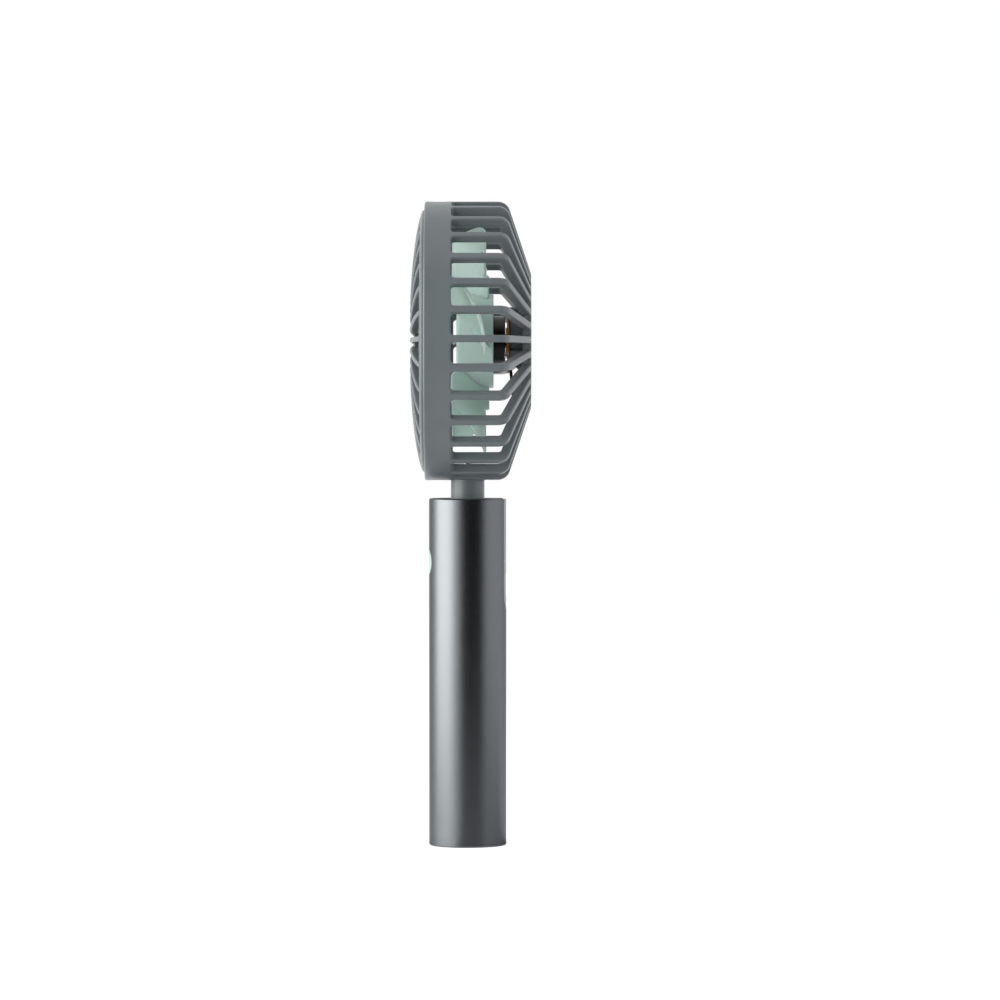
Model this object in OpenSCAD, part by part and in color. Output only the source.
// Slim rechargeable fan: a round caged head tilts back on a short neck, on a tube handle.
// The fan blows towards -Y. The origin is the centre of the handle's bottom face.

/* [Handle] */
// Outside diameter of the handle tube
handle_d = 27.6; // [27:0.1:34]
// Height of the handle tube
handle_h = 123.8; // [104:0.2:150]
// Wall of the handle tube
tube_t = 1.2; // [0.8:0.1:1.3]
// Chamfer on the ends of the handle tube
tube_chamfer = 0.4; // [0.2:0.1:0.6]
// Thickness of the bottom cap's plate
cap_t = 3.2; // [2.4:0.2:5]
// Wall of the inner frame beside the circuit board
frame_t = 1.5; // [1.2:0.1:1.7]

/* [Fan head] */
// Outside diameter of the fan head
head_d = 99.4; // [92:0.2:130]
// Gap between the handle's top and the head
head_gap = 6.4; // [6:0.2:14]
// Reach of the band's front edge, forward of the handle's axis
band_reach = 15.2; // [13:0.2:17]
// Width of the solid band, front to back
band_w = 9.6; // [8.6:0.2:10.4]
// Wall of the solid band
band_t = 2.9; // [2.4:0.1:3.4]
// Small chamfer on the band's front edge
band_chamfer = 0.5; // [0.3:0.1:0.8]

/* [Rear cage] */
// Number of ribs in the rear cage
rib_count = 30; // [22:4:34]
// Thickness of a rib
rib_t = 2.5; // [2:0.1:2.8]
// Depth of a rib, measured square to the cage's outside
rib_depth = 3.2; // [2.6:0.1:3.6]
// Straight run of the ribs behind the band, to where they would meet the sloping part
rib_run = 19.6; // [18:0.2:22]
// Depth of the cage behind the band
cage_depth = 28.2; // [27:0.2:32]
// Radius of the bend in the ribs
shoulder_r = 3.8; // [2:0.2:5]
// Diameter of the flat back plate
back_d = 48; // [44:1:54]
// Thickness of the back plate
back_t = 2.6; // [2.2:0.1:3.2]
// Diameter of the plain cap on the back plate
back_cap_d = 33.6; // [30:0.4:38]
// Thickness of the plain cap on the back plate
back_cap_t = 1; // [0.6:0.1:1.2]

/* [Front grille] */
// Number of bars in the front grille
bar_count = 30; // [22:4:34]
// Thickness of a bar
bar_t = 1.8; // [1.4:0.1:2]
// Depth of a bar, front to back
bar_depth = 3; // [2:0.2:3.6]
// Rise of the domed front
dome_h = 6.9; // [5:0.1:8]
// How far the dome's base lies behind the band's front edge
dome_sink = 1.35; // [0.8:0.05:2]
// How much smaller the dome's base is than the head, on the radius
dome_inset = 0.7; // [0.4:0.1:1.2]
// Diameter of the plain disc in the grille's middle
grille_hub_d = 30; // [26:1:36]
// How far that disc is set back from the crest of the bars
hub_sink = 1.8; // [1:0.1:2]
// Thickness of that disc
grille_hub_t = 1.6; // [1.2:0.1:2]
// Thickness of the grille's outer ring
grille_ring_t = 2.1; // [1.6:0.1:2.4]

/* [Impeller] */
// Number of blades
blade_count = 5; // [3:1:7]
// Room between the blade tips and the band
tip_room = 5.8; // [3:0.1:8]
// Thickness of a blade
blade_t = 1.3; // [1:0.1:1.8]
// Diameter of the impeller's hub
hub_d = 33.6; // [30:0.2:36]
// Wall round the side of the impeller's hub
hub_wall = 1.4; // [1.2:0.1:2]
// Length of the impeller's hub
hub_h = 13.1; // [12:0.1:14]
// Wall of the impeller's hub at its front
hub_t = 1.6; // [1.2:0.1:2]

/* [Motor] */
// Outside diameter of the motor's turning can
can_d = 17.8; // [17:0.1:18.2]
// Length of the turning can
can_h = 12; // [11:0.2:12.6]
// Length of the can that stands out behind the hub
can_show = 4.2; // [3:0.1:5]
// Wall of the turning can
can_t = 0.6; // [0.5:0.05:0.8]
// Diameter of the motor's shaft
shaft_d = 2; // [1.5:0.1:2.4]
// Diameter of the motor's circuit board
motor_board_d = 23; // [22.8:0.2:25]
// Thickness of the motor's circuit board
motor_board_t = 0.8; // [0.6:0.1:1.2]
// Reach of the motor boss, forward of the cage's back face
boss_reach = 7.8; // [7:0.1:9]

/* [Neck and tilt] */
// Diameter of the neck
neck_d = 12; // [11:0.2:12.4]
// Depth of the tilt axis below the handle's top
pivot_drop = 6.5; // [6:0.1:8]
// Furthest tilt of the head, backwards
tilt_max = 27.5; // [15:0.5:27.5]
// Diameter of the hinge pins
pin_d = 3; // [2:0.2:3.6]
// Height of the hinge collar
collar_h = 16; // [15.6:0.2:18]

/* [Power] */
// Diameter of the cell
battery_d = 18.4; // [17:0.1:18.6]
// Free height between the cell's deck and the circuit board, for the leads
lead_room = 8.65; // [6:0.05:14]
// Width of the main circuit board
board_w = 19; // [18:0.2:19.6]
// Height of the main circuit board
board_h = 26; // [25.6:0.1:28]
// Thickness of the main circuit board
board_t = 1.2; // [0.8:0.1:1.6]
// How far the board's front face lies behind the handle's axis
board_set = 2; // [1.4:0.1:2.4]

/* [Button] */
// Diameter of the push button
button_d = 9.8; // [8:0.1:10.2]
// Depth of the button's centre below the handle's top
button_drop = 22.8; // [22.6:0.1:23.4]
// Travel of the button
button_travel = 0.6; // [0.3:0.1:0.6]
// How far the button stands proud of the handle
button_proud = 0.15; // [0:0.05:0.4]
// Gap round the button
button_gap = 0.25; // [0.2:0.05:0.5]

/* [Rear panel] */
// Width of the inset panel on the handle's back
panel_w = 10.6; // [9:0.1:11.6]
// Height of the inset panel, from the handle's top down
panel_h = 39.8; // [38:0.2:44]
// Depth of the charging port's centre below the handle's top
port_drop = 31; // [30:0.1:32]
// Longer side of the charging port
port_l = 9; // [8:0.1:9.2]
// Shorter side of the charging port
port_w = 3.3; // [2.8:0.1:3.6]

/* [Hidden] */

// Fits, and the overrun of every cut
fit_gap = 0.05;
move_gap = 0.35;
bush_gap = 0.04;
seam_gap = 0.1;
over = 1;

// Sides of a full circle, in a preview
$fn = 96;

// Handle places
handle_r = handle_d / 2;
bore_r = handle_r - tube_t;
frame_r = bore_r - 3 * fit_gap;
pivot_z = handle_h - pivot_drop;
collar_z = handle_h - collar_h;
button_z = handle_h - button_drop;
port_z = handle_h - port_drop;
collar_r = bore_r - fit_gap;
collar_sink = 0.2;
frame_top = collar_z - seam_gap;

// Main board places
board_top = frame_top - fit_gap;
board_z = board_top - board_h;
board_back = board_set + board_t;
rail_in = 7.2;
rail_t = 3.5;
screw_x = 8.3;
screw_head_r = 1.1;
screw_head_h = 0.8;
screw_r = 0.7;
screw_hole_gap = 0.05;
screw_l = 3;
chip_w = 5;
chip_t = 1.2;
chip_gap = 1;
coil_d = 6;
coil_t = 2.4;

// Cell stack, from the cap upwards: the cell fills the room below the board's leads
battery_r = battery_d / 2;
spigot_h = 1.6;
pad_h = 1;
tab_t = 0.2;
cell_gap = 0.2;
nub_h = 0.8;
nub_r = 2.8;
tab_w = 5.6;
tab_tail_w = 2;
deck_t = 1.6;
deck_hole_r = 7;
pad_z = cap_t + spigot_h;
tab_z = pad_z + pad_h;
battery_z = tab_z + tab_t;
deck_z = board_z - lead_room - deck_t;
battery_top = deck_z - cell_gap - tab_t;
lead_r = 0.55;
wire_sides = 12;
groove_w = 2.6;
groove_r = battery_r + 3 * cell_gap + 2 * lead_r;
lead_y = groove_r - cell_gap - lead_r;

// Button and switch
button_r = button_d / 2;
flange_over = 1.3;
flange_r = button_r + flange_over;
flange_t = 1;
flange_y = sqrt(bore_r * bore_r - flange_r * flange_r) - move_gap;
button_stem_r = 2.2;
switch_w = 6;
switch_h = 3.5;
switch_face = switch_h - board_set;
plunger_r = 1.75;
plunger_out = 1.5;
plunger_in = 0.6;
plunger_room = 0.3;

// Charging port and lights
panel_r = handle_r - fit_gap;
panel_half = panel_w / 2 - seam_gap;
panel_flange_t = 0.9;
panel_flange_over = 2;
panel_bottom = handle_h - panel_h;
port_gap = 0.2;
port_sink = 0.7;
shell_t = 0.35;
shell_end = bore_r + port_gap;
tongue_w = 0.7;
tongue_back = 2.4;
light_pitch = 2.2;
light_count = 4;
light_w = 1.2;
light_t = 0.7;
guide_r = 0.6;
guide_bar_t = 1;

// Neck and hinge
neck_r = neck_d / 2;
flat_cut = 0.2;
knuckle_half = neck_r - flat_cut;
washer_gap = 0.05;
slot_r = neck_r + move_gap;
slot_shift = pivot_drop * tan(tilt_max) + neck_r / cos(tilt_max) + move_gap - slot_r;
pin_r = pin_d / 2;
pin_in = 2.6;
pin_lip = 1.1;
pin_head_r = pin_r + pin_lip;
pin_head_t = 1.2;
pin_out = collar_r - 4 * fit_gap;
wire_r = 1.8;
wire_x = 0.8;
lead_break = 0.5;
washer_r = 4.2;
cavity_up = 1.2;

// Head places, where y is measured along the fan's axis
head_r = head_d / 2;
head_z = handle_h + head_gap + head_r;
band_front = -band_reach;
band_rear = band_front + band_w;
band_in = head_r - band_t;
shoulder_y = band_rear + rib_run;
back_y = band_rear + cage_depth;
back_r = back_d / 2;
plate_front = back_y - back_t;
slope = atan2(head_r - back_r, back_y - shoulder_y);
rib_pitch = 360 / rib_count;
bar_pitch = 360 / bar_count;
shoulder_steps = 6;
back_cap_r = back_cap_d / 2;

// Neck root in the cage
root_t = 5.4;
root_roof = 1.3;
root_half = head_r * sin(rib_pitch / 2) + rib_t / 2;
root_over = 0.4;
root_rear = neck_r + root_over;
spigot_r = 4.6;
neck_screw_x = 3.1;
neck_screw_r = 0.88;
neck_screw_head_r = 1.45;
neck_screw_head_h = 1;
neck_screw_l = 8;
neck_screw_room = 0.2;

// Motor places
boss_front = back_y - boss_reach;
boss_r = 8.6;
can_r = can_d / 2;
can_room = 0.6;
can_rear = boss_front - motor_board_t - can_room;
can_front = can_rear - can_h;
can_plate = 0.8;
hub_r = hub_d / 2;
hub_rear = can_rear - can_show;
hub_front = hub_rear - hub_h;
socket_t = 1.6;
socket_r = can_r + socket_t;
web_count = 5;
web_t = 1.2;
web_share = 0.6;
hub_boss_r = 3;
hub_step = 0.9;
shaft_r = shaft_d / 2;
shaft_start = hub_front + 2 * hub_t;
bush_t = 0.88;
bush_r = shaft_r + bush_t;
bush_l = 3;
bush_set = 0.2;
bush_in = 2.2;
bush_rear = boss_front + bush_in;
washer_room = 0.15;
thrust_t = 0.3;
thrust_front = bush_rear + washer_room;
clip_t = 0.4;
clip_front = thrust_front + thrust_t + fit_gap;
washer_out = bush_r - seam_gap;
shaft_tail = 0.6;
shaft_end = clip_front + clip_t + shaft_tail;
holder_in = bush_r + fit_gap;
holder_t = 0.5;
holder_r = holder_in + holder_t;
holder_set = 2.2;
holder_front = can_front + holder_set;
holder_lip = 0.7;
holder_rear = shaft_end + holder_lip;
holder_flange_r = 4.8;
holder_flange_t = 0.5;
bore_room = 0.6;
boss_bore_rear = holder_rear + bore_room;
post_r = 1.9;
post_at = 10.2;
post_turn = 30;
motor_screw_r = 0.75;
motor_screw_head_r = 1;
motor_screw_head_h = 0.9;
motor_screw_l = 4;
gusset_count = 6;
gusset_t = 1.2;
gusset_reach = 5.6;
gusset_h = 3.8;
magnet_t = 1.4;
magnet_front = can_front + 2 * can_plate;
magnet_rear = can_rear - can_plate;
air_gap = 0.35;
route_in_share = 0.2;
route_down_share = 0.7;
stator_r = can_r - can_t - fit_gap - magnet_t - air_gap;
stator_set = 1;
stator_front = holder_front + stator_set;
stator_h = 5.6;
tooth_count = 6;
tooth_w = 1.5;
shoe_t = 1;
shoe_gap = 1.2;
coil_over = 1;
coil_w = 0.5;

// Impeller places
tip_r = band_in - tip_room;
blade_sink_share = 0.6;
blade_root_in = 0.4;
blade_lead = 2.3;
blade_lead_share = 0.28;
blade_trail = 2.5;
blade_tab = 1.3;
blade_tab_from_share = 0.8;
blade_tab_end_share = 0.37;
blade_tab_ease_share = 0.05;
blade_bow = 3.3;
blade_lean = 2.4;
blade_corner = 1.6;
blade_width_root = 46;
blade_width_tip = 45;
blade_turn = -14.5;
blade_row_shares = [0, 0.16, 0.32, 0.37, 0.42, 0.7, 1];
blade_column_shares = [0, 0.08, 0.3, 0.5, 0.7, 0.92, 1];
edge_share = 0.2;
hub_bevel = 1;

// Grille places
dome_y = band_front + dome_sink;
dome_a = head_r - dome_inset;
dome_steps = 8;
dome_step_power = 0.6;
grille_r = band_in - seam_gap;
grille_in = grille_r - grille_ring_t;
grille_hub_r = grille_hub_d / 2;
grille_hub_y = dome_y - dome_h + hub_sink;
ledge_t = 1.2;
ledge_in = 1.9;
ledge_share = 0.35;
ledge_y = band_rear - ledge_share * band_w;
grille_rear = ledge_y - fit_gap;
bead = 0.35;
bead_y = grille_rear - 5 * bead;

// Height of the dome's outside at a radius
function dome_at(r) = dome_y - dome_h * sqrt(1 - pow(r / dome_a, 2));

// Place of the cage's sloping outside at a radius
function slope_at(r) = shoulder_y + (head_r - r) / tan(slope);

// Points of an arc
function arc(cx, cy, r, from, to, steps) =
    [for (i = [0:steps]) let (a = from + (to - from) * i / steps) [cx + r * cos(a), cy + r * sin(a)]];

function mix(a, b, t) = a + (b - a) * t;

module on_fan_axis() {
    translate([0, 0, head_z]) rotate([-90, 0, 0]) children();
}

module towards_front(z) {
    translate([0, 0, z]) rotate([90, 0, 0]) children();
}

module towards_back(z) {
    translate([0, 0, z]) rotate([-90, 0, 0]) children();
}

module along_x(z) {
    translate([0, 0, z]) rotate([0, 90, 0]) children();
}

module both_sides() {
    children();
    mirror([1, 0, 0]) children();
}

module tube(r_out, r_in, z0, z1) {
    translate([0, 0, z0]) difference() {
        cylinder(r = r_out, h = z1 - z0);
        translate([0, 0, -over]) cylinder(r = r_in, h = z1 - z0 + 2 * over);
    }
}

module rod(r, z0, z1) {
    translate([0, 0, z0]) cylinder(r = r, h = z1 - z0);
}

// A box given by its two corners
module block(low, high) {
    translate(low) cube(high - low);
}

// Mean direction of a route at one of its points, and how far the route turns there
function unit(v) = v / norm(v);
function way_in(points, i) = unit(points[max(i, 1)] - points[max(i, 1) - 1]);
function way_out(points, i) = way_in(points, min(i + 1, len(points) - 1));

// A wire through a few points that lie in one upright plane, with mitred corners
module wire(points, r) {
    n = len(points);
    rings = [
        for (i = [0:n - 1])
            let (
                way = unit(way_in(points, i) + way_out(points, i)),
                across = cross([1, 0, 0], way) / (way * way_in(points, i))
            )
            for (k = [0:wire_sides - 1])
                let (a = k * 360 / wire_sides)
                points[i] + r * (cos(a) * [1, 0, 0] + sin(a) * across)
    ];
    walls = [
        for (i = [0:n - 2])
            for (k = [0:wire_sides - 1])
                let (next = (k + 1) % wire_sides, low = i * wire_sides)
                [low + k, low + next, low + wire_sides + next, low + wire_sides + k]
    ];
    ends = [
        [for (k = [wire_sides - 1:-1:0]) k],
        [for (k = [0:wire_sides - 1]) (n - 1) * wire_sides + k]
    ];
    polyhedron(points = rings, faces = concat(walls, ends), convexity = 4);
}

// Outline of the inset panel, seen from behind, with its middle on the handle's axis
module panel_outline(grow) {
    half = panel_w / 2 + grow;
    middle = panel_bottom + panel_w / 2;
    translate([0, -middle]) circle(r = half);
    translate([-half, -handle_h - over]) square([2 * half, handle_h + over - middle]);
}

module port_outline(grow) {
    half = (port_l - port_w) / 2;
    r = port_w / 2 + grow;
    for (side = [-1, 1]) {
        translate([0, side * half]) circle(r = r, $fn = 32);
    }
    translate([-r, -half]) square([2 * r, 2 * half]);
}

module handle_tube() {
    color("#3c4046") difference() {
        rotate_extrude() polygon([
            [bore_r, 0],
            [handle_r - tube_chamfer, 0],
            [handle_r, tube_chamfer],
            [handle_r, handle_h - tube_chamfer],
            [handle_r - tube_chamfer, handle_h],
            [bore_r, handle_h]
        ]);
        towards_front(button_z) rod(button_r + button_gap, 0, handle_r + over);
        towards_back(0) linear_extrude(handle_r + over) panel_outline(0);
    }
}

module bottom_cap() {
    color("#2b2e31") {
        rod(collar_r, 0, cap_t);
        rod(battery_r, cap_t - over, pad_z);
    }
}

module inner_frame() {
    flange_room = panel_half + panel_flange_over + move_gap;
    color("#d9d9d4") difference() {
        union() {
            difference() {
                rod(frame_r, cap_t, frame_top);
                rod(battery_r + cell_gap, cap_t - over, deck_z);
                rod(frame_r - frame_t, deck_z + deck_t, frame_top + over);
                rod(deck_hole_r, deck_z - over, deck_z + deck_t + over);
            }
            both_sides() intersection() {
                block([rail_in, board_set - rail_t, board_z], [handle_r, board_set, frame_top]);
                rod(frame_r - frame_t / 2, board_z, frame_top);
            }
        }
        block([-groove_w / 2, -groove_r, cap_t - over], [groove_w / 2, 0, deck_z + deck_t + over]);
        towards_front(button_z) rod(flange_r + 2 * move_gap, 0, handle_r);
        block([-flange_room, board_back, panel_bottom - panel_flange_over - move_gap],
            [flange_room, handle_r, frame_top + over]);
        both_sides() translate([screw_x, 0, board_z + board_h / 2]) rotate([-90, 0, 0])
            rod(screw_r + screw_hole_gap, board_set - rail_t - over, board_set + over);
    }
}

module battery_cell() {
    color("#4f8f7f") {
        rod(battery_r, battery_z, battery_top - nub_h);
        rod(nub_r, battery_top - nub_h - over, battery_top);
    }
}

module battery_pad() {
    color("#24262a") rod(battery_r - 2 * cell_gap, pad_z, tab_z);
}

module battery_tabs() {
    color("#c9ccd0") {
        block([-tab_w / 2, -tab_w, tab_z], [tab_w / 2, tab_w, battery_z]);
        block([-tab_tail_w / 2, -lead_y - lead_r, tab_z], [tab_tail_w / 2, 0, battery_z]);
        block([-tab_w / 2, -tab_w / 2, battery_top], [tab_w / 2, tab_w / 2, battery_top + tab_t]);
    }
}

module battery_leads() {
    solder_y = board_set - lead_r;
    color("#b03030") wire([
        [0, -lead_y, battery_z],
        [0, -lead_y, deck_z + deck_t + 2 * lead_r],
        [0, solder_y, board_z + 3 * lead_r],
        [0, solder_y, board_z + 6 * lead_r]
    ], lead_r);
    color("#202020") wire([
        [tab_w / 2 - lead_r, 0, battery_top + tab_t],
        [tab_w / 2 - lead_r, 0, battery_top + tab_t + 2 * lead_r],
        [tab_w / 2 - lead_r, solder_y, board_z + lead_r],
        [tab_w / 2 - lead_r, solder_y, board_z + 6 * lead_r]
    ], lead_r);
}

module main_board() {
    color("#1f6b45") difference() {
        block([-board_w / 2, board_set, board_z], [board_w / 2, board_back, board_top]);
        both_sides() translate([screw_x, 0, board_z + board_h / 2]) rotate([-90, 0, 0])
            rod(screw_r + screw_hole_gap, board_set - over, board_back + over);
    }
}

module board_parts() {
    chip_z = board_z + 8 * lead_r;
    color("#1b1b1d") {
        block([-chip_gap - chip_w, board_set - chip_t, chip_z], [-chip_gap, board_set, chip_z + chip_w]);
        translate([chip_gap + coil_d / 2, 0, chip_z + chip_w / 2]) rotate([90, 0, 0])
            rod(coil_d / 2, -board_set, coil_t - board_set);
    }
}

module board_screws() {
    color("#c0c2c4") both_sides() translate([screw_x, 0, board_z + board_h / 2]) rotate([-90, 0, 0]) {
        rod(screw_head_r, board_back, board_back + screw_head_h);
        rod(screw_r, board_back - screw_l - board_t, board_back + screw_head_h / 2);
    }
}

module tact_switch() {
    color("#2a2a2c") towards_front(button_z) difference() {
        block([-switch_w / 2, -switch_w / 2, -board_set], [switch_w / 2, switch_w / 2, switch_face]);
        rod(plunger_r + move_gap / 2, switch_face - plunger_in - button_travel - plunger_room,
            switch_face + over);
    }
}

module switch_plunger() {
    color("#3a3a3c") towards_front(button_z)
        rod(plunger_r, switch_face - plunger_in, switch_face + plunger_out);
}

module mode_button() {
    color("#c5e2da") union() {
        intersection() {
            towards_front(button_z) rod(button_r, flange_y - flange_t / 2, handle_r + over);
            rod(handle_r + button_proud, button_z - flange_r - over, button_z + flange_r + over);
        }
        towards_front(button_z) {
            rod(flange_r, flange_y - flange_t, flange_y);
            rod(button_stem_r, switch_face + plunger_out + fit_gap, flange_y - flange_t / 2);
        }
    }
}

module usb_shell() {
    color("#c4c7ca") towards_back(port_z) translate([0, 0, board_back]) linear_extrude(shell_end - board_back)
        difference() {
            port_outline(0);
            port_outline(-shell_t);
        }
}

module usb_tongue() {
    tongue_l = port_l - port_w;
    color("#17181a") towards_back(port_z) {
        translate([0, 0, board_back]) linear_extrude(tongue_back) port_outline(-shell_t - fit_gap);
        block([-tongue_w / 2, -tongue_l / 2, board_back],
            [tongue_w / 2, tongue_l / 2, shell_end - port_sink]);
    }
}

module light_row() {
    for (i = [0:light_count - 1]) {
        translate([(i - (light_count - 1) / 2) * light_pitch, 0, 0]) children();
    }
}

module status_lights() {
    color("#f4f1d8") towards_back(button_z) light_row()
        block([-light_w / 2, -light_w / 2, board_back], [light_w / 2, light_w / 2, board_back + light_t]);
}

module light_guides() {
    row_half = (light_count - 1) / 2 * light_pitch + guide_r;
    guide_start = board_back + light_t + 3 * fit_gap;
    color("#e8eef0") intersection() {
        towards_back(button_z) {
            light_row() rod(guide_r, guide_start, handle_r);
            block([-row_half, -guide_r, guide_start + guide_bar_t],
                [row_half, guide_r, guide_start + 2 * guide_bar_t]);
        }
        rod(panel_r, button_z - 2 * light_w, button_z + 2 * light_w);
    }
}

module rear_panel() {
    flange_half = panel_half + panel_flange_over;
    flange_low = panel_bottom - panel_flange_over;
    color("#8b9094") difference() {
        union() {
            intersection() {
                towards_back(0) linear_extrude(handle_r + over) panel_outline(-seam_gap);
                tube(panel_r, bore_r + fit_gap, 0, handle_h - collar_sink);
            }
            intersection() {
                towards_back(0) linear_extrude(handle_r + over) panel_outline(-seam_gap);
                tube(panel_r, frame_r - panel_flange_t, 0, frame_top - seam_gap);
            }
            intersection() {
                block([-flange_half, 0, flange_low], [flange_half, handle_r, frame_top - seam_gap]);
                tube(frame_r, frame_r - panel_flange_t, flange_low, frame_top);
            }
        }
        towards_back(port_z) linear_extrude(handle_r + over) port_outline(port_gap);
        towards_back(button_z) light_row() rod(guide_r + fit_gap, 0, handle_r + over);
    }
}

// Room for the neck in the collar: round at the pivot, and a slot with round ends above it
module neck_room() {
    low = pivot_z - neck_r * sin(tilt_max);
    along_x(pivot_z) rod(slot_r, -slot_r, slot_r);
    translate([0, 0, low]) linear_extrude(handle_h + over - low) {
        circle(r = slot_r);
        translate([0, slot_shift]) circle(r = slot_r);
        translate([-slot_r, 0]) square([2 * slot_r, slot_shift]);
    }
}

module hinge_collar() {
    color("#3a3d41") difference() {
        rod(collar_r, collar_z, handle_h - collar_sink);
        neck_room();
        rod(wire_r, collar_z - over, pivot_z);
        both_sides() along_x(pivot_z) {
            rod(pin_r + fit_gap / 2, 0, collar_r + over);
            rod(pin_head_r + fit_gap, pin_out - pin_head_t - fit_gap, collar_r + over);
        }
    }
}

module hinge_pins() {
    color("#b9bcc0") both_sides() along_x(pivot_z) {
        rod(pin_r, pin_in, pin_out);
        rod(pin_head_r, pin_out - pin_head_t, pin_out);
    }
}

module friction_washers() {
    color("#a9a59a") both_sides() along_x(pivot_z)
        tube(washer_r, pin_r + fit_gap, knuckle_half + washer_gap, slot_r);
}

module fan_leads() {
    solder_y = board_set - lead_r;
    for (side = [-1, 1]) {
        color(side < 0 ? "#b03030" : "#202020") wire([
            [side * wire_x, 0, pivot_z - lead_break],
            [side * wire_x, 0, collar_z],
            [side * wire_x, solder_y, board_top - 2 * lead_r],
            [side * wire_x, solder_y, board_top - 4 * lead_r]
        ], lead_r);
    }
}

module neck_stem() {
    color("#63676b") difference() {
        union() {
            difference() {
                rod(neck_r, pivot_z, head_z - head_r + neck_r);
                on_fan_axis() rod(head_r + fit_gap, -2 * neck_r, 2 * neck_r);
            }
            rod(spigot_r, pivot_z, head_z - head_r + root_t - root_roof - fit_gap);
            along_x(pivot_z) rod(neck_r, -knuckle_half, knuckle_half);
        }
        rod(wire_r, pivot_z, head_z);
        both_sides() block([knuckle_half, -neck_r - over, pivot_z - neck_r - over],
            [neck_r + over, neck_r + over, pivot_z + washer_r + move_gap]);
        block([-wire_r, -neck_r - over, pivot_z - neck_r - over],
            [wire_r, neck_r + over, pivot_z + cavity_up]);
        both_sides() along_x(pivot_z) rod(pin_r + fit_gap, 0, neck_r + over);
        for (side = [-1, 1]) {
            translate([side * neck_screw_x, 0, head_z - head_r + root_t - neck_screw_l - neck_screw_room])
                cylinder(r = neck_screw_r + fit_gap / 2, h = neck_screw_l);
        }
    }
}

module neck_screws() {
    roof = head_z - head_r + root_t;
    color("#b9bcc0") for (side = [-1, 1]) {
        translate([side * neck_screw_x, 0, 0]) {
            rod(neck_screw_head_r, roof, roof + neck_screw_head_h);
            rod(neck_screw_r, roof - neck_screw_l, roof + neck_screw_head_h / 2);
        }
    }
}

module cage_profile() {
    tangent = shoulder_r * tan(slope / 2);
    inner = head_r - rib_depth;
    inner_shift = rib_depth / sin(slope);
    rib_in = back_r - back_t;
    polygon(concat(
        [[head_r, band_rear - ledge_t]],
        arc(head_r - shoulder_r, shoulder_y - tangent, shoulder_r, 0, slope, shoulder_steps),
        [[back_r, back_y],
            [rib_in, back_y],
            [rib_in, slope_at(rib_in) - inner_shift],
            [inner, slope_at(inner) - inner_shift],
            [inner, band_rear - ledge_t]]
    ));
}

module cage_ribs() {
    intersection() {
        rotate_extrude() cage_profile();
        for (i = [0:rib_count - 1]) {
            rotate([0, 0, i * rib_pitch])
                block([back_r - 2 * back_t, -rib_t / 2, band_rear - 2 * ledge_t],
                    [head_r + over, rib_t / 2, back_y + over]);
        }
    }
}

module cage_band() {
    rotate_extrude() polygon([
        [band_in, band_front + band_chamfer / 2],
        [band_in + band_chamfer / 2, band_front],
        [head_r - band_chamfer, band_front],
        [head_r, band_front + band_chamfer],
        [head_r, band_rear],
        [band_in, band_rear],
        [band_in, ledge_y + ledge_t],
        [band_in - ledge_in, ledge_y + ledge_t],
        [band_in - ledge_in, ledge_y],
        [band_in, ledge_y],
        [band_in, bead_y + 2 * bead],
        [band_in + bead + fit_gap, bead_y + bead],
        [band_in + bead + fit_gap, bead_y - bead],
        [band_in, bead_y - 2 * bead]
    ]);
}

module neck_root() {
    low_r = head_r - root_t;
    intersection() {
        tube(head_r, low_r, band_rear - ledge_t, root_rear);
        block([-root_half, 0, band_rear - 2 * ledge_t], [root_half, head_r + over, root_rear + over]);
    }
}

module motor_boss() {
    rod(boss_r, boss_front, plate_front + back_t / 2);
    for (i = [0:2]) {
        rotate([0, 0, post_turn + i * 120]) translate([post_at, 0, 0])
            rod(post_r, boss_front, plate_front + back_t / 2);
    }
    for (i = [0:gusset_count - 1]) {
        rotate([90, 0, i * 360 / gusset_count]) translate([0, 0, -gusset_t / 2]) linear_extrude(gusset_t)
            polygon([
                [boss_r - gusset_t, plate_front - gusset_h],
                [boss_r + gusset_t / 2, plate_front - gusset_h],
                [boss_r + gusset_reach, plate_front + back_t / 2],
                [boss_r - gusset_t, plate_front + back_t / 2]
            ]);
    }
}

module rear_cage() {
    low_r = head_r - root_t;
    color("#6b6f72") on_fan_axis() difference() {
        union() {
            cage_band();
            cage_ribs();
            rod(back_r, plate_front, back_y);
            motor_boss();
            neck_root();
        }
        rod(back_cap_r + fit_gap, back_y - back_cap_t, back_y + over);
        rod(holder_r + fit_gap / 2, boss_front - over, boss_bore_rear);
        for (i = [0:2]) {
            rotate([0, 0, post_turn + i * 120]) translate([post_at, 0, 0])
                rod(motor_screw_r + fit_gap / 2, boss_front - over, boss_front + motor_screw_l + fit_gap);
        }
        rotate([-90, 0, 0]) {
            rod(spigot_r + fit_gap, low_r + root_roof, head_r + over);
            rod(wire_r, low_r - over, head_r);
            for (side = [-1, 1]) {
                translate([side * neck_screw_x, 0, 0]) {
                    rod(neck_screw_r + neck_screw_room, low_r - over, low_r + 2 * root_roof);
                    rod(neck_screw_head_r + neck_screw_room, low_r - 2 * root_roof, low_r);
                }
            }
        }
    }
}

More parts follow.
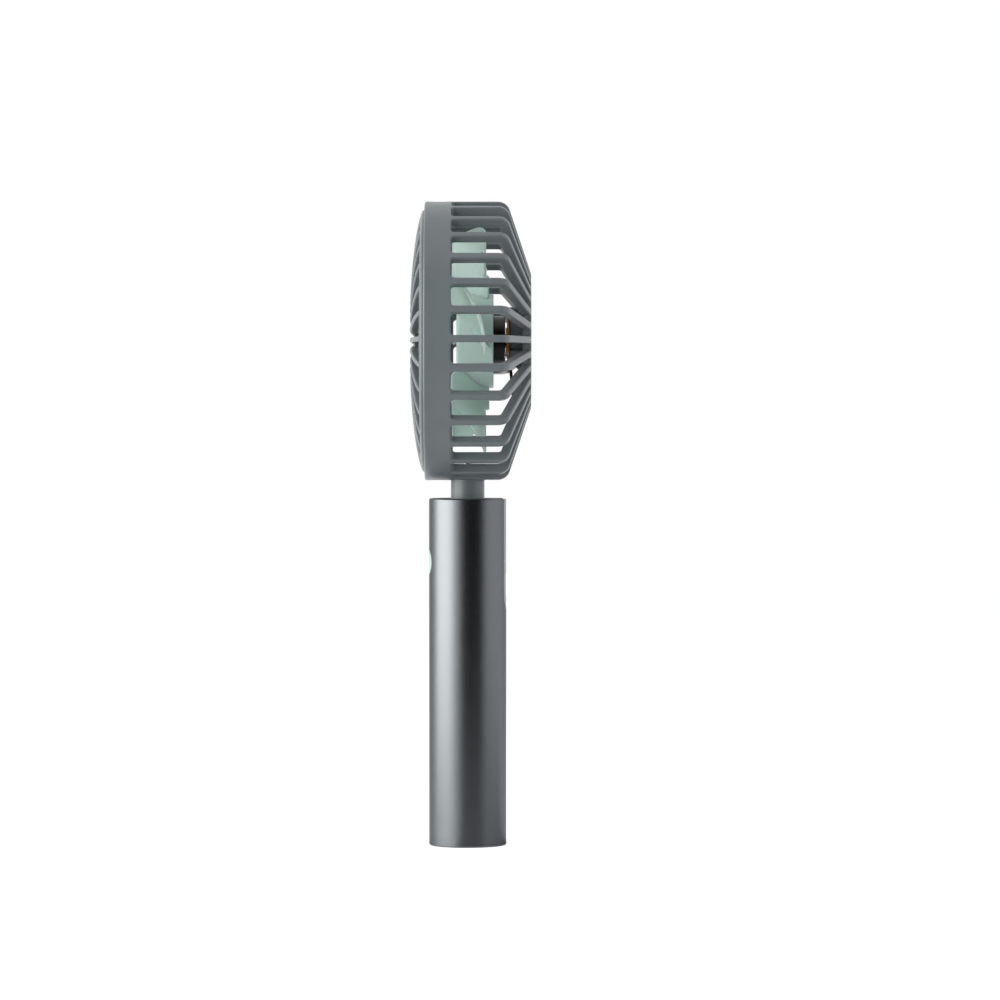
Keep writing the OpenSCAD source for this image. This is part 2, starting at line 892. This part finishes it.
module front_grille() {
    bar_in = grille_hub_r - 2 * hub_sink;
    bar_out = grille_in + grille_ring_t / 2;
    radii = [for (i = [0:dome_steps]) mix(bar_in, bar_out, pow(i / dome_steps, dome_step_power))];
    color("#6b6f72") on_fan_axis() union() {
        rotate_extrude() polygon([
            [grille_in, dome_at(grille_in)],
            [grille_r, dome_at(grille_r)],
            [grille_r, bead_y - 2 * bead],
            [grille_r + bead, bead_y - bead / 2],
            [grille_r + bead, bead_y + bead / 2],
            [grille_r, bead_y + 2 * bead],
            [grille_r, grille_rear],
            [grille_in, grille_rear]
        ]);
        intersection() {
            rotate_extrude() polygon(concat(
                [for (r = radii) [r, dome_at(r)]],
                [for (i = [dome_steps:-1:0]) [radii[i], dome_at(radii[i]) + bar_depth]]
            ));
            for (i = [0:bar_count - 1]) {
                rotate([0, 0, i * bar_pitch])
                    block([bar_in - over, -bar_t / 2, dome_y - 2 * dome_h], [head_r, bar_t / 2, 0]);
            }
        }
        rod(grille_hub_r, grille_hub_y, grille_hub_y + grille_hub_t);
    }
}

module back_cap() {
    color("#5d6164") on_fan_axis() rod(back_cap_r, back_y - back_cap_t, back_y);
}

module motor_board() {
    color("#9b7346") on_fan_axis() difference() {
        rod(motor_board_d / 2, boss_front - motor_board_t, boss_front);
        rod(holder_r + fit_gap, boss_front - motor_board_t - over, boss_front + over);
        for (i = [0:2]) {
            rotate([0, 0, post_turn + i * 120]) translate([post_at, 0, 0])
                rod(motor_screw_r + fit_gap, boss_front - motor_board_t - over, boss_front + over);
        }
    }
}

module motor_screws() {
    board_face = boss_front - motor_board_t;
    color("#b9bcc0") on_fan_axis() for (i = [0:2]) {
        rotate([0, 0, post_turn + i * 120]) translate([post_at, 0, 0]) {
            rod(motor_screw_head_r, board_face - motor_screw_head_h, board_face);
            rod(motor_screw_r, board_face - motor_screw_head_h / 2, boss_front + motor_screw_l);
        }
    }
}

module bearing_holder() {
    board_face = boss_front - motor_board_t;
    color("#b08d4a") on_fan_axis() difference() {
        union() {
            rod(holder_r, holder_front, holder_rear);
            rod(holder_flange_r, board_face - holder_flange_t, board_face);
        }
        rod(holder_in, holder_front - over, holder_rear + over);
    }
}

module motor_bushes() {
    front = holder_front + bush_set;
    color("#8a6d3b") on_fan_axis() {
        tube(bush_r, shaft_r + bush_gap, front, front + bush_l);
        tube(bush_r, shaft_r + bush_gap, bush_rear - bush_l, bush_rear);
    }
}

module stator_core() {
    shoe_in = stator_r - shoe_t;
    ring_r = holder_r + fit_gap + shoe_t;
    color("#8d9196") on_fan_axis() translate([0, 0, stator_front]) linear_extrude(stator_h) difference() {
        union() {
            circle(r = ring_r);
            for (i = [0:tooth_count - 1]) {
                rotate(i * 360 / tooth_count) translate([0, -tooth_w / 2])
                    square([stator_r - shoe_t / 2, tooth_w]);
            }
            difference() {
                circle(r = stator_r);
                circle(r = shoe_in);
                for (i = [0:tooth_count - 1]) {
                    rotate((i + 0.5) * 360 / tooth_count) translate([0, -shoe_gap / 2])
                        square([stator_r + over, shoe_gap]);
                }
            }
        }
        circle(r = holder_r + fit_gap);
    }
}

module stator_coils() {
    coil_in = holder_r + 2 * fit_gap + shoe_t;
    half = tooth_w / 2 + fit_gap;
    coil_out = sqrt(pow(stator_r - shoe_t, 2) - pow(half + coil_w, 2)) - fit_gap;
    color("#b5652b") on_fan_axis() for (i = [0:tooth_count - 1]) {
        rotate([0, 0, i * 360 / tooth_count]) difference() {
            block([coil_in, -half - coil_w, stator_front - coil_over],
                [coil_out, half + coil_w, stator_front + stator_h + coil_over]);
            block([coil_in - over, -half, stator_front - fit_gap],
                [coil_out + over, half, stator_front + stator_h + fit_gap]);
        }
    }
}

module motor_leads() {
    board_z_low = head_z - motor_board_d / 2 + 2 * lead_r;
    root_top = head_z - head_r + root_t;
    solder_y = boss_front + lead_r;
    cage_low = head_z - tip_r - 3 * lead_r;
    bend_y = mix(solder_y, plate_front, route_in_share);
    bend_z = head_z - mix(motor_board_d / 2, back_r, route_down_share);
    for (side = [-1, 1]) {
        color(side < 0 ? "#b03030" : "#202020") wire([
            [side * wire_x, solder_y, board_z_low],
            [side * wire_x, bend_y, bend_z],
            [side * wire_x, shoulder_y - 2 * lead_r, head_z - tip_r + lead_r],
            [side * wire_x, root_rear, cage_low],
            [side * wire_x, 0, root_top + 2 * lead_r],
            [side * wire_x, 0, pivot_z + lead_break]
        ], lead_r);
    }
}

// A share that starts and ends softly between 0 and 1
function ease(t) = let (s = max(0, min(1, t))) s * s * (3 - 2 * s);

// A point of a blade: u runs from root to tip, v across its width, side picks a face
function blade_point(u, v, side) =
    let (
        root = hub_r - blade_sink_share * hub_wall,
        tip = tip_r - blade_lean * pow(1 - v, 2) - blade_corner * pow(2 * v - 1, 10),
        reach = mix(root, tip, u),
        width = mix(blade_width_root, blade_width_tip, u),
        lead = ease(u / blade_lead_share),
        near = 1 - ease((u - blade_tab_end_share) / blade_tab_ease_share),
        tab = blade_tab * near * ease((v - blade_tab_from_share) / (1 - blade_tab_from_share)),
        front = mix(hub_front + blade_root_in, hub_front - blade_lead, lead),
        rear = hub_rear - blade_trail,
        angle = (v - 0.5) * width + blade_turn,
        slope = rear - front + 4 * blade_bow * u * (1 - 2 * v),
        pitch = atan2(slope, reach * width * PI / 180),
        half = blade_t / 2 * (1 - edge_share * pow(2 * v - 1, 2)),
        bow = 4 * blade_bow * u * v * (1 - v) + tab,
        axial = mix(front + half, rear - half, v) + bow + side * half * cos(pitch),
        turn = angle - side * half * sin(pitch) / reach * 180 / PI
    )
    [reach * cos(turn), reach * sin(turn), axial];

module blade() {
    n = len(blade_row_shares) - 1;
    row = n + 1;
    top = row * row;
    points = [
        for (side = [-1, 1])
            for (u = blade_row_shares)
                for (v = blade_column_shares)
                    blade_point(u, v, side)
    ];
    front_faces = [
        for (i = [0:n - 1])
            for (j = [0:n - 1])
                for (half = [0, 1])
                    half == 0
                        ? [i * row + j, (i + 1) * row + j + 1, i * row + j + 1]
                        : [i * row + j, (i + 1) * row + j, (i + 1) * row + j + 1]
    ];
    rear_faces = [for (f = front_faces) [f[0] + top, f[2] + top, f[1] + top]];
    rim = concat(
        [for (j = [0:n - 1]) [j, j + 1]],
        [for (i = [0:n - 1]) [(i + 1) * row, i * row]],
        [for (j = [0:n - 1]) [n * row + j + 1, n * row + j]],
        [for (i = [0:n - 1]) [i * row + n, (i + 1) * row + n]]
    );
    rim_faces = [
        for (e = rim)
            for (half = [0, 1])
                half == 0 ? [e[0], e[1], e[1] + top] : [e[0], e[1] + top, e[0] + top]
    ];
    polyhedron(points = points, faces = concat(front_faces, rear_faces, rim_faces), convexity = 4);
}

module impeller() {
    color("#a9d3c5") on_fan_axis() difference() {
        union() {
            rotate_extrude() polygon([
                [0, hub_front],
                [hub_r - hub_bevel, hub_front],
                [hub_r, hub_front + hub_bevel],
                [hub_r, hub_rear],
                [hub_r - hub_wall, hub_rear],
                [hub_r - hub_wall, hub_front + hub_t],
                [socket_r, hub_front + hub_t],
                [socket_r, hub_rear],
                [0, hub_rear]
            ]);
            for (i = [0:blade_count - 1]) {
                rotate([0, 0, i * 360 / blade_count]) blade();
            }
            for (i = [0:web_count - 1]) {
                rotate([0, 0, i * 360 / web_count])
                    translate([socket_r - socket_t / 2, -web_t / 2, hub_front + hub_t / 2])
                        cube([
                            hub_r - hub_wall / 2 - socket_r + socket_t / 2,
                            web_t,
                            web_share * hub_h
                        ]);
            }
        }
        rod(can_r + fit_gap, can_front - fit_gap, hub_rear + over);
        tube(can_r - hub_step, hub_boss_r, hub_front + hub_t, can_front + over);
        rod(shaft_r + fit_gap / 2, shaft_start, can_front + over);
    }
}

module rotor_can() {
    color("#141416") on_fan_axis() difference() {
        rod(can_r, can_front, can_rear);
        rod(can_r - can_t, can_front + can_plate, can_rear + over);
        rod(shaft_r + fit_gap / 2, can_front - over, can_rear);
    }
}

module magnet_ring() {
    outer = can_r - can_t - fit_gap / 2;
    color("#34363a") on_fan_axis() tube(outer, outer - magnet_t, magnet_front, magnet_rear);
}

module motor_shaft() {
    color("#cfd2d6") on_fan_axis() rod(shaft_r, shaft_start + fit_gap, shaft_end);
}

module thrust_washer() {
    color("#e6e2d6") on_fan_axis()
        tube(washer_out, shaft_r + fit_gap / 2, thrust_front, thrust_front + thrust_t);
}

module shaft_clip() {
    color("#9a9da1") on_fan_axis()
        tube(washer_out, shaft_r + fit_gap / 2, clip_front, clip_front + clip_t);
}

handle_tube();
bottom_cap();
inner_frame();
battery_cell();
battery_pad();
battery_tabs();
battery_leads();
main_board();
board_parts();
board_screws();
tact_switch();
usb_shell();
usb_tongue();
status_lights();
light_guides();
rear_panel();
hinge_collar();
hinge_pins();
friction_washers();
fan_leads();
mode_button();
switch_plunger();
neck_stem();
neck_screws();
rear_cage();
front_grille();
back_cap();
motor_board();
motor_screws();
bearing_holder();
motor_bushes();
stator_core();
stator_coils();
motor_leads();
impeller();
rotor_can();
magnet_ring();
motor_shaft();
thrust_washer();
shaft_clip();
